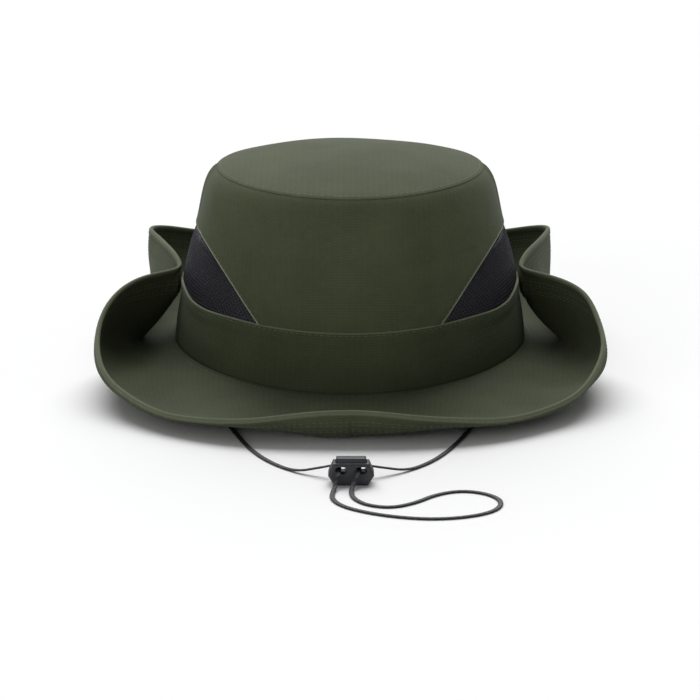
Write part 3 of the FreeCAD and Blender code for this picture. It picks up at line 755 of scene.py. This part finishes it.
def make_brim():
    count = QUARTER_COLUMNS * 4
    even = np.linspace(0, 360, 1441)
    rim_line = np.stack([around_brim(1, even, -1), around_brim(2, even), around_brim(3, even)], -1)
    rim_run = steps_along(rim_line, 0)
    quarter_marks = np.interp([0, 90, 180, 270, 360], even, rim_run)
    wanted = np.concatenate([np.linspace(quarter_marks[q], quarter_marks[q + 1], QUARTER_COLUMNS + 1)[:-1]
                             for q in range(4)])
    angle = np.interp(wanted, rim_run, even)
    near = np.linspace(NEAR_RIM, 0, NEAR_RIM_ROWS)
    middle, from_crown, length = brim_grid(angle, near)
    from_rim = length - from_crown
    normals = grid_normals(middle, ring=True)
    rim_out = middle[:, -1] - middle[:, -2]
    rim_out /= np.linalg.norm(rim_out, axis=-1, keepdims=True)
    run = wanted[:, None]

    half = BRIM_HALF + (HEM_HALF - BRIM_HALF) * (1 - ease(HEM_WIDTH - 0.3, HEM_WIDTH + 0.3, from_rim))
    half = half - 0.25 * np.exp(-((from_rim - HEM_WIDTH - 0.3) / 0.35) ** 2)
    stitched = np.zeros_like(from_rim)
    for row in RIM_ROWS:
        stitched = np.maximum(stitched, np.exp(-((from_rim - row) / 0.7) ** 2))
    stitched = np.maximum(stitched, np.exp(-((from_crown - CROWN_ROW) / 0.7) ** 2))
    half = half - STITCH_DENT * stitched * (0.75 + 0.25 * np.cos(run * math.tau / STITCH_PITCH))
    buckle = 0.35 * np.sin(run * 0.055 + 1.0) * np.sin(from_crown * 0.09)
    buckle = buckle + 0.25 * np.sin(run * 0.13 - from_crown * 0.11)
    middle = middle + normals * (buckle * ease(4, 20, from_crown))[..., None]

    ring_half = half[:, -1]
    hem_turns = np.linspace(0, math.pi, 9)[1:-1]
    upper = middle + normals * half[..., None]
    under = middle - normals * half[..., None]
    hem = np.stack([middle[:, -1] + normals[:, -1] * (ring_half * math.cos(a))[:, None]
                    + rim_out * (ring_half * math.sin(a))[:, None] for a in hem_turns], 1)
    width = 2 * upper.shape[1] + hem.shape[1]
    # Painted highlight, with some real rubbing, along the hemmed rim
    edge_wear_and_highlight = 0.2 * (1 - ease(0.2, 1.0, from_rim))
    wear_and_highlight = np.concatenate([edge_wear_and_highlight, np.full(hem.shape[:2], 0.2), edge_wear_and_highlight[:, ::-1]], axis=1)

    cut_radius = CROWN_RADIUS + from_crown
    turn = np.radians(angle)[:, None]
    for body, side in (("left", 1), ("right", -1)):
        low, high = node_box(body + "_snap_socket")
        centre = (low + high) / 2
        axis = np.array([side * math.cos(SNAP_TILT), 0, math.sin(SNAP_TILT)])
        for surface, seat in ((upper, SOCKET_SEAT), (under, CAP_SEAT)):
            offset = surface - centre
            depth = offset @ axis
            radius = np.linalg.norm(offset - depth[..., None] * axis, axis=-1)
            press = (1 - ease(5.0, 11.0, radius)) * (np.abs(depth) < 12)
            surface += axis * ((seat - depth) * press)[..., None]
    section = np.concatenate([upper, hem, under[:, ::-1]], axis=1)
    shading = grid_normals(section, ring=True)
    flat_pattern = np.stack([cut_radius * np.sin(turn), -cut_radius * np.cos(turn)], -1)
    hem_pattern = np.repeat(flat_pattern[:, -1:], len(hem_turns), axis=1)
    pattern = np.concatenate([flat_pattern, hem_pattern, flat_pattern[:, ::-1]], axis=1)

    upper_normals = grid_normals(upper, ring=True)
    under_normals = -grid_normals(under, ring=True)
    # Each quarter, its side, its end, and the CAD parts of the brim that it stands in for
    quarters = [("front_left", 1, 1, ("front", "left")), ("back_left", 1, -1, ("back",)),
                ("back_right", -1, -1, ()), ("front_right", -1, 1, ("right",))]
    layers = ("upper_cloth", "interlining", "under_cloth", "edge_binding")
    for q, (quarter, side, front, parts) in enumerate(quarters):
        pick = np.arange(q * QUARTER_COLUMNS, (q + 1) * QUARTER_COLUMNS + 1) % count
        body = "left_brim" if side > 0 else "right_brim"

        points = section[pick]
        faces = np.concatenate([cell_faces(len(pick), width),
                                closing_faces(len(pick), width)]).tolist()
        faces += [list(range(width)), [(len(pick) - 1) * width + k for k in range(width)][::-1]]
        piece = new_piece("brim_" + quarter, points.reshape(-1, 3), faces, pattern[pick].reshape(-1, 2),
                          brim_cloth_painted_shade, 0)
        piece.data.normals_split_custom_set_from_vertices(shading[pick].reshape(-1, 3))
        mark_wear_and_highlight(piece, wear_and_highlight[pick])
        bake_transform(piece)
        if parts:
            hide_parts(*["%s_brim_%s" % (part, layer) for part in parts for layer in layers])

        lines = []
        for gauge, distance in [(from_rim, row) for row in RIM_ROWS] + [(from_crown, CROWN_ROW)]:
            for surface, out in ((upper, upper_normals), (under, under_normals)):
                line = []
                facing = []
                for c in pick:
                    order = np.argsort(gauge[c])
                    far = gauge[c][order]
                    line.append([np.interp(distance, far, surface[c, order, k]) for k in range(3)])
                    facing.append([np.interp(distance, far, out[c, order, k]) for k in range(3)])
                lines.append((np.array(line), np.array(facing)))
        thread = sew("brim_stitching_" + quarter, lines, olive_thread)
        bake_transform(thread)


def closing_faces(rows, columns):
    """Quads that join a section's last point to its first, along the crown end."""
    i = np.arange(rows - 1)
    start = i * columns
    after = start + columns
    return np.stack([start + columns - 1, after + columns - 1, after, start], -1)


make_brim()

# ----------------------------------------------------------------------------
# Sweatband: a dark wicking band inside the foot of the crown, thick and soft at its edges.
sweat_cloth = ripstop("knitted_sweatband", "#2c2f26", "#1d1f19", rib_pitch=1.0)


def make_inner_band(name, low, high, outer, inner, material):
    """Band round the inside of the crown, its edges rounded."""
    angle = (np.arange(320) * 360 / 320)[:, None]
    share = np.linspace(low, high, 26)[None, :] + 0 * angle
    middle = on_crown(angle, share, (outer + inner) / 2)
    normals = grid_normals(middle, ring=True)
    up = steps_along(middle, 1)
    edge = np.minimum(up, up[:, -1:] - up)
    thick = (outer - inner) / 2 * np.sqrt(np.clip(edge / 1.2, 0.02, 1))
    uv = np.stack([np.radians(angle) * 90 + 0 * up, up], -1)
    puff = normals * thick[..., None]
    piece = sheet_piece(name, middle + puff, middle - puff, uv, material, ring=True)
    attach(piece, "hat")
    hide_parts(name)


make_inner_band("sweatband", 0.01, 0.28, -0.7, -1.6, sweat_cloth)

# ----------------------------------------------------------------------------
# Tip seam tape: a narrow woven tape sewn over the raw seam inside the top of the crown.
tape_cloth = ripstop("woven_tape_black", "#26262a", "#16161a", rib_pitch=0.9)
make_inner_band("tip_seam_tape", 0.9, 0.985, -0.8, -1.3, tape_cloth)

# ----------------------------------------------------------------------------
# Snaps: blackened brass press studs. The cap is riveted through the brim to its socket, and the stud through
# the band to its post, which lies under the sweatband.
brass, brass_tree, brass_shader = start_material("blackened_brass", Metallic=1.0, Roughness=0.38)
brass_place = add(brass_tree, "ShaderNodeTexCoord").outputs["Object"]
rub = add(brass_tree, "ShaderNodeTexNoise", {"Vector": brass_place, "Scale": 420.0, "Detail": 3.0})
brass_colour = add(brass_tree, "ShaderNodeMix",
                   {0: rub.outputs["Fac"], 6: linear("#3a3833"), 7: linear("#6b6557")}, data_type="RGBA")
brass_tree.links.new(brass_colour.outputs[2], brass_shader.inputs["Base Color"])


TURNED_SIDES = 40


def turned(node, profile, body):
    """Piece turned from radius and height pairs about the node's own axis, outwards from the crown."""
    low, high = node_box(node)
    centre = (low + high) / 2
    side = 1 if centre[0] > 0 else -1
    axis = np.array([side * math.cos(SNAP_TILT), 0, math.sin(SNAP_TILT)])
    across = np.array([0, 1.0, 0])
    third = np.cross(axis, across)
    turns = np.arange(TURNED_SIDES) * math.tau / TURNED_SIDES
    radius, height = (np.array(column) for column in zip(*profile))
    spoke = across * np.cos(turns)[:, None, None] + third * np.sin(turns)[:, None, None]
    grid = centre + axis * height[None, :, None] + spoke * radius[None, :, None]
    faces = cell_faces(TURNED_SIDES, len(profile), 0, True).tolist()
    piece = new_piece(node, grid.reshape(-1, 3), faces, None, brass, 40)
    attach(piece, body)
    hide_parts(node)


CAP_PROFILE = [(0.01, -1.5), (1.0, -1.5), (1.0, -0.5), (4.5, -0.55), (4.8, -0.3), (4.75, 0.05), (4.3, 0.35),
               (3.9, 0.32), (3.6, 0.5), (2.4, 0.85), (1.2, 1.0), (0.01, 1.05)]
SOCKET_PROFILE = [(0.01, 0.29), (4.3, 0.29), (4.55, 0.1), (4.5, -0.15), (4.2, -0.3), (3.2, -0.3), (3.0, -0.2),
                  (3.0, 0.12), (0.01, 0.12)]
STUD_PROFILE = [(0.01, -0.3), (2.65, -0.3), (2.7, -0.2), (2.5, -0.08), (1.5, -0.04), (1.45, 0.2), (1.3, 0.3),
                (0.01, 0.31)]
POST_PROFILE = [(0.01, -1.75), (3.8, -1.75), (4.0, -1.55), (3.9, -1.2), (3.4, -1.1), (1.1, -1.08),
                (1.08, 1.7), (0.01, 1.72)]
for hand in ("left", "right"):
    turned(hand + "_snap_cap", CAP_PROFILE, hand + "_brim")
    turned(hand + "_snap_socket", SOCKET_PROFILE, hand + "_brim")
    turned(hand + "_snap_stud", STUD_PROFILE, "hat")
    turned(hand + "_snap_post", POST_PROFILE, "hat")

# ----------------------------------------------------------------------------
# Cord tabs: a folded end of woven tape on each side, inside the crown, that the chin cord is sewn to.
for hand in ("left", "right"):
    low, high = node_box(hand + "_cord_tab")
    across, up = np.meshgrid(np.linspace(low[1], high[1], 17), np.linspace(low[2], high[2], 21),
                             indexing="ij")
    edge = np.minimum(np.minimum(across - low[1], high[1] - across), np.minimum(up - low[2], high[2] - up))
    thick = (high[0] - low[0]) / 2 * np.sqrt(np.clip(edge / 1.0, 0.03, 1))
    ripple = 0.08 * np.sin(up * math.tau / 2.4)
    middle = (low[0] + high[0]) / 2
    face = np.stack([middle + thick - ripple, across, up], -1)
    back = np.stack([middle - thick - ripple, across, up], -1)
    tab = sheet_piece(hand + "_cord_tab", face, back, face[..., 1:], tape_cloth)
    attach(tab, "hat")
    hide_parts(hand + "_cord_tab")

# ----------------------------------------------------------------------------
# Chin cord: one length of flat black braid, sewn to the tabs under both sides of the crown. It runs forward
# over the floor through the lock, and its spare end is one loose loop beyond it.
CORD_WIDTH = 2.2
CORD_THICK = 0.9
FLOOR_Z = 0.55
HOLE_Z = 6.9
PLAIT_PITCH = 1.6
CORD_SIDES = 12
CORD_ROUTE = [
    (84.6, -16, 6.4), (84.5, -20.5, 3.2), (83, -30, 1.4), (79.5, -48, FLOOR_Z), (72.5, -74, FLOOR_Z),
    (65, -101, FLOOR_Z), (58.8, -127, FLOOR_Z), (53.5, -149, FLOOR_Z), (46.5, -171, FLOOR_Z),
    (37.5, -192, FLOOR_Z), (26, -207, FLOOR_Z), (13.5, -213.8, 4.2), (3.9, -217.9, HOLE_Z),
    (3.9, -230.3, HOLE_Z), (1.2, -233.4, 2.0), (0.4, -239.5, FLOOR_Z), (1.6, -248.5, FLOOR_Z),
    (7, -257.5, FLOOR_Z), (17.5, -261.5, FLOOR_Z), (28, -254.5, FLOOR_Z), (37, -242.5, FLOOR_Z),
    (48, -236.5, FLOOR_Z), (59, -240.5, FLOOR_Z), (65.5, -251, FLOOR_Z), (63, -264.5, FLOOR_Z),
    (52, -273.5, FLOOR_Z), (36, -277.5, FLOOR_Z), (20, -274.5, FLOOR_Z), (6, -267.5, FLOOR_Z),
    (-4, -258.5, FLOOR_Z), (-8, -248, FLOOR_Z), (-7.4, -238.5, FLOOR_Z), (-6.2, -233.3, 2.0),
    (-4.9, -230.3, HOLE_Z), (-4.9, -217.9, HOLE_Z), (-12.5, -213.8, 4.2), (-24.5, -208.5, FLOOR_Z),
    (-36, -194, FLOOR_Z), (-44.8, -175, FLOOR_Z), (-51.5, -153, FLOOR_Z), (-57.5, -130, FLOOR_Z),
    (-64, -103, FLOOR_Z), (-72, -75, FLOOR_Z), (-79.5, -48, FLOOR_Z), (-83, -30, 1.4), (-84.5, -20.5, 3.2),
    (-84.6, -16, 6.4),
]

route = bpy.data.curves.new("cord_route", "CURVE")
route.dimensions = "3D"
spline = route.splines.new("NURBS")
spline.points.add(len(CORD_ROUTE) - 1)
for point, place in zip(spline.points, to_row(CORD_ROUTE)):
    point.co = (*place, 1)
spline.order_u = 3
spline.use_endpoint_u = True
spline.resolution_u = 16
guide = bpy.data.objects.new("cord_route", route)
centre_mesh = bpy.data.meshes.new_from_object(guide)
centre_line = np.array([v.co for v in centre_mesh.vertices])
bpy.data.objects.remove(guide)

cord_braid, cord_tree, cord_shader = start_material("flat_polyester_braid", Roughness=0.62, IOR=1.5)
cord_map = add(cord_tree, "ShaderNodeUVMap", uv_map="cloth").outputs["UV"]
plait = add(cord_tree, "ShaderNodeTexWave",
            {"Vector": cord_map, "Scale": WAVE_PITCH / (PLAIT_PITCH * 0.001), "Distortion": 1.5},
            bands_direction="DIAGONAL")
fibre = add(cord_tree, "ShaderNodeTexNoise", {"Vector": cord_map, "Scale": 2600.0, "Detail": 2.0})
braid_height = add(cord_tree, "ShaderNodeMath", {0: fibre.outputs["Fac"], 1: 0.5, 2: plait.outputs["Fac"]},
                   operation="MULTIPLY_ADD")
braid_bump = add(cord_tree, "ShaderNodeBump",
                 {"Height": braid_height.outputs[0], "Strength": 0.7, "Distance": 0.00018})
braid_colour = add(cord_tree, "ShaderNodeMix",
                   {0: plait.outputs["Fac"], 6: linear("#151518"), 7: linear("#2b2b30")}, data_type="RGBA")
cord_tree.links.new(braid_colour.outputs[2], cord_shader.inputs["Base Color"])
cord_tree.links.new(braid_bump.outputs["Normal"], cord_shader.inputs["Normal"])


def tube_faces(count, sides):
    """Faces of a closed tube of count rings, with an end on each."""
    k = np.arange(sides)[:, None]
    i = np.arange(count - 1)[None, :]
    after = (k + 1) % sides
    quads = np.stack([i * sides + k, i * sides + after, (i + 1) * sides + after, (i + 1) * sides + k], -1)
    ends = [list(range(sides))[::-1], [(count - 1) * sides + n for n in range(sides)]]
    return quads.reshape(-1, 4).tolist() + ends


def make_cord():
    line = centre_line * 1000 - (0, CROWN_Y, 0)
    ahead = np.gradient(line, axis=0)
    ahead /= np.linalg.norm(ahead, axis=-1, keepdims=True)
    side = np.cross(ahead, (0, 0, 1.0))
    side /= np.linalg.norm(side, axis=-1, keepdims=True)
    up = np.cross(side, ahead)
    turns = np.arange(CORD_SIDES) * math.tau / CORD_SIDES
    wide = np.sign(np.cos(turns)) * np.abs(np.cos(turns)) ** 0.7 * CORD_WIDTH / 2
    high = np.sign(np.sin(turns)) * np.abs(np.sin(turns)) ** 0.7 * CORD_THICK / 2
    tube = line[:, None] + side[:, None] * wide[:, None] + up[:, None] * high[:, None]
    run = steps_along(line, 0)
    girth = turns / math.tau * 6.0
    uv = np.stack([np.broadcast_to(girth, tube.shape[:2]), np.broadcast_to(run[:, None], tube.shape[:2])], -1)
    piece = new_piece("chin_cord", tube.reshape(-1, 3), tube_faces(len(line), CORD_SIDES),
                      uv.reshape(-1, 2), cord_braid, 0)
    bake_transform(piece)
    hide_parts("chin_cord")
    make_spring()


# ----------------------------------------------------------------------------
# Cord lock: a two-hole lock moulded in acetal, with a push button that a spring holds up against the cords.
lock_plastic, lock_tree, lock_shader = start_material("moulded_acetal_black", Roughness=0.42, IOR=1.48)
lock_shader.inputs["Base Color"].default_value = linear("#313236")
lock_place = add(lock_tree, "ShaderNodeTexCoord").outputs["Object"]
grain = add(lock_tree, "ShaderNodeTexNoise", {"Vector": lock_place, "Scale": 2600.0, "Detail": 2.0})
lock_bump = add(lock_tree, "ShaderNodeBump",
                {"Height": grain.outputs["Fac"], "Strength": 0.3, "Distance": 0.00008})
lock_tree.links.new(lock_bump.outputs["Normal"], lock_shader.inputs["Normal"])
steel, steel_tree, steel_shader = start_material("spring_steel_wire", Metallic=1.0, Roughness=0.3)
steel_shader.inputs["Base Color"].default_value = linear("#a9abae")
SPRING_TURNS = 3
SPRING_WIRE = 0.2


def make_spring():
    """Coil of steel wire under the button."""
    low, high = node_box("lock_spring")
    tall = high[2] - low[2] - 2 * SPRING_WIRE
    turn = np.linspace(0, SPRING_TURNS * math.tau, SPRING_TURNS * 28)
    coil = (high[0] - low[0]) / 2 - SPRING_WIRE
    spoke = np.stack([np.cos(turn), np.sin(turn), 0 * turn], -1)
    line = (low + high) / 2 + spoke * coil + np.array([0, 0, tall]) * (turn / turn[-1] - 0.5)[:, None]
    turns = np.arange(10) * math.tau / 10
    grid = (line[:, None] + spoke[:, None] * (np.cos(turns) * SPRING_WIRE)[:, None]
            + np.array([0, 0, 1.0]) * (np.sin(turns) * SPRING_WIRE)[:, None])
    piece = new_piece("lock_spring_coil", grid.reshape(-1, 3), tube_faces(len(line), 10), None, steel, 0)
    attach(piece, "cord_lock")
    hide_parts("lock_spring")
    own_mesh(piece)
    return piece


steel_grain = add(steel_tree, "ShaderNodeTexNoise",
                  {"Vector": add(steel_tree, "ShaderNodeTexCoord").outputs["Object"], "Scale": 3000.0})
steel_rough = add(steel_tree, "ShaderNodeMapRange", {0: steel_grain.outputs["Fac"], 3: 0.22, 4: 0.42})
steel_tree.links.new(steel_rough.outputs[0], steel_shader.inputs["Roughness"])
for node in ("lock_body", "lock_button"):
    for material_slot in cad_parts[node].material_slots:
        material_slot.material = lock_plastic

# The cord is made last, and making it also makes the lock's spring
make_cord()
